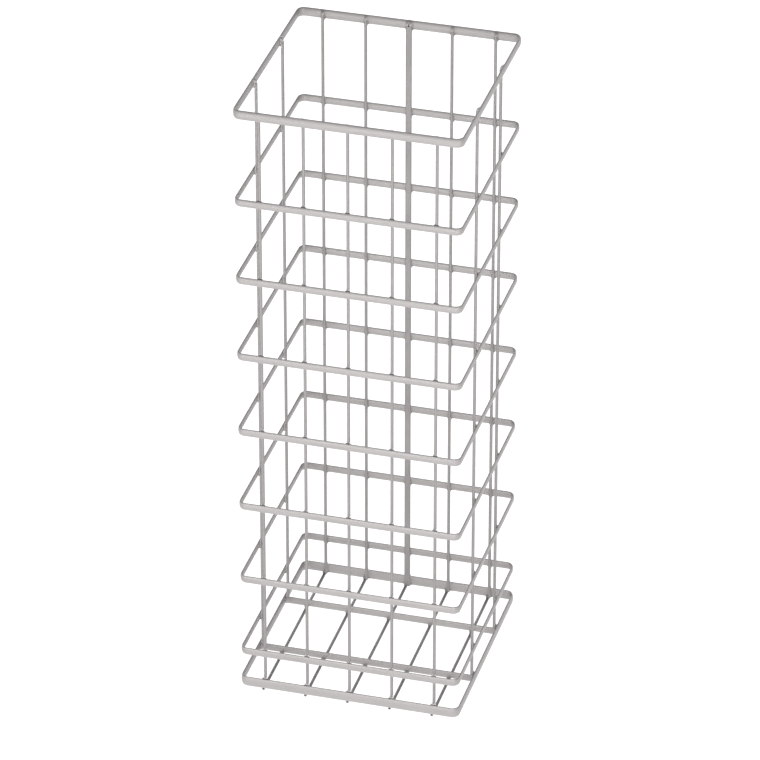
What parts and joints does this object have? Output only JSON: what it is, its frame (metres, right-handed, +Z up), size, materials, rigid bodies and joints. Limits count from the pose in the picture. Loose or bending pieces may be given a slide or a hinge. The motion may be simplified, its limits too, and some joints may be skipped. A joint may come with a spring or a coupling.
{
  "type": "umbrella stand",
  "caption": "Tall square umbrella stand of welded steel wire, open at the top, with flat wire hoops, round uprights and a wire grid floor.",
  "frame": {"origin": "on the floor, at the centre of the footprint", "axes": "+Z up to the open top, the front faces -Y, +X to the right seen from the front"},
  "size_m": [0.2078, 0.2078, 0.6],
  "materials": {
    "flat_wire": "satin silver-grey powder coat",
    "round_wire": "satin silver-grey powder coat"
  },
  "bodies": {
    "root": {"base_ring": "flat_wire", "hoop_1": "flat_wire", "hoop_2": "flat_wire", "hoop_3": "flat_wire", "hoop_4": "flat_wire", "hoop_5": "flat_wire", "hoop_6": "flat_wire", "hoop_7": "flat_wire", "top_ring": "flat_wire", "cross_bar_front": "flat_wire", "cross_bar_rear": "flat_wire", "floor_wire_1": "round_wire", "floor_wire_2": "round_wire", "floor_wire_3": "round_wire", "floor_wire_4": "round_wire", "floor_wire_5": "round_wire", "front_upright_1": "round_wire", "front_upright_2": "round_wire", "front_upright_3": "round_wire", "front_upright_4": "round_wire", "front_upright_5": "round_wire", "back_upright_1": "round_wire", "back_upright_2": "round_wire", "back_upright_3": "round_wire", "back_upright_4": "round_wire", "back_upright_5": "round_wire", "back_seam_upright": "round_wire", "left_upright_front": "round_wire", "left_upright_rear": "round_wire", "right_upright_front": "round_wire", "right_upright_rear": "round_wire"}
  },
  "joints": []
}
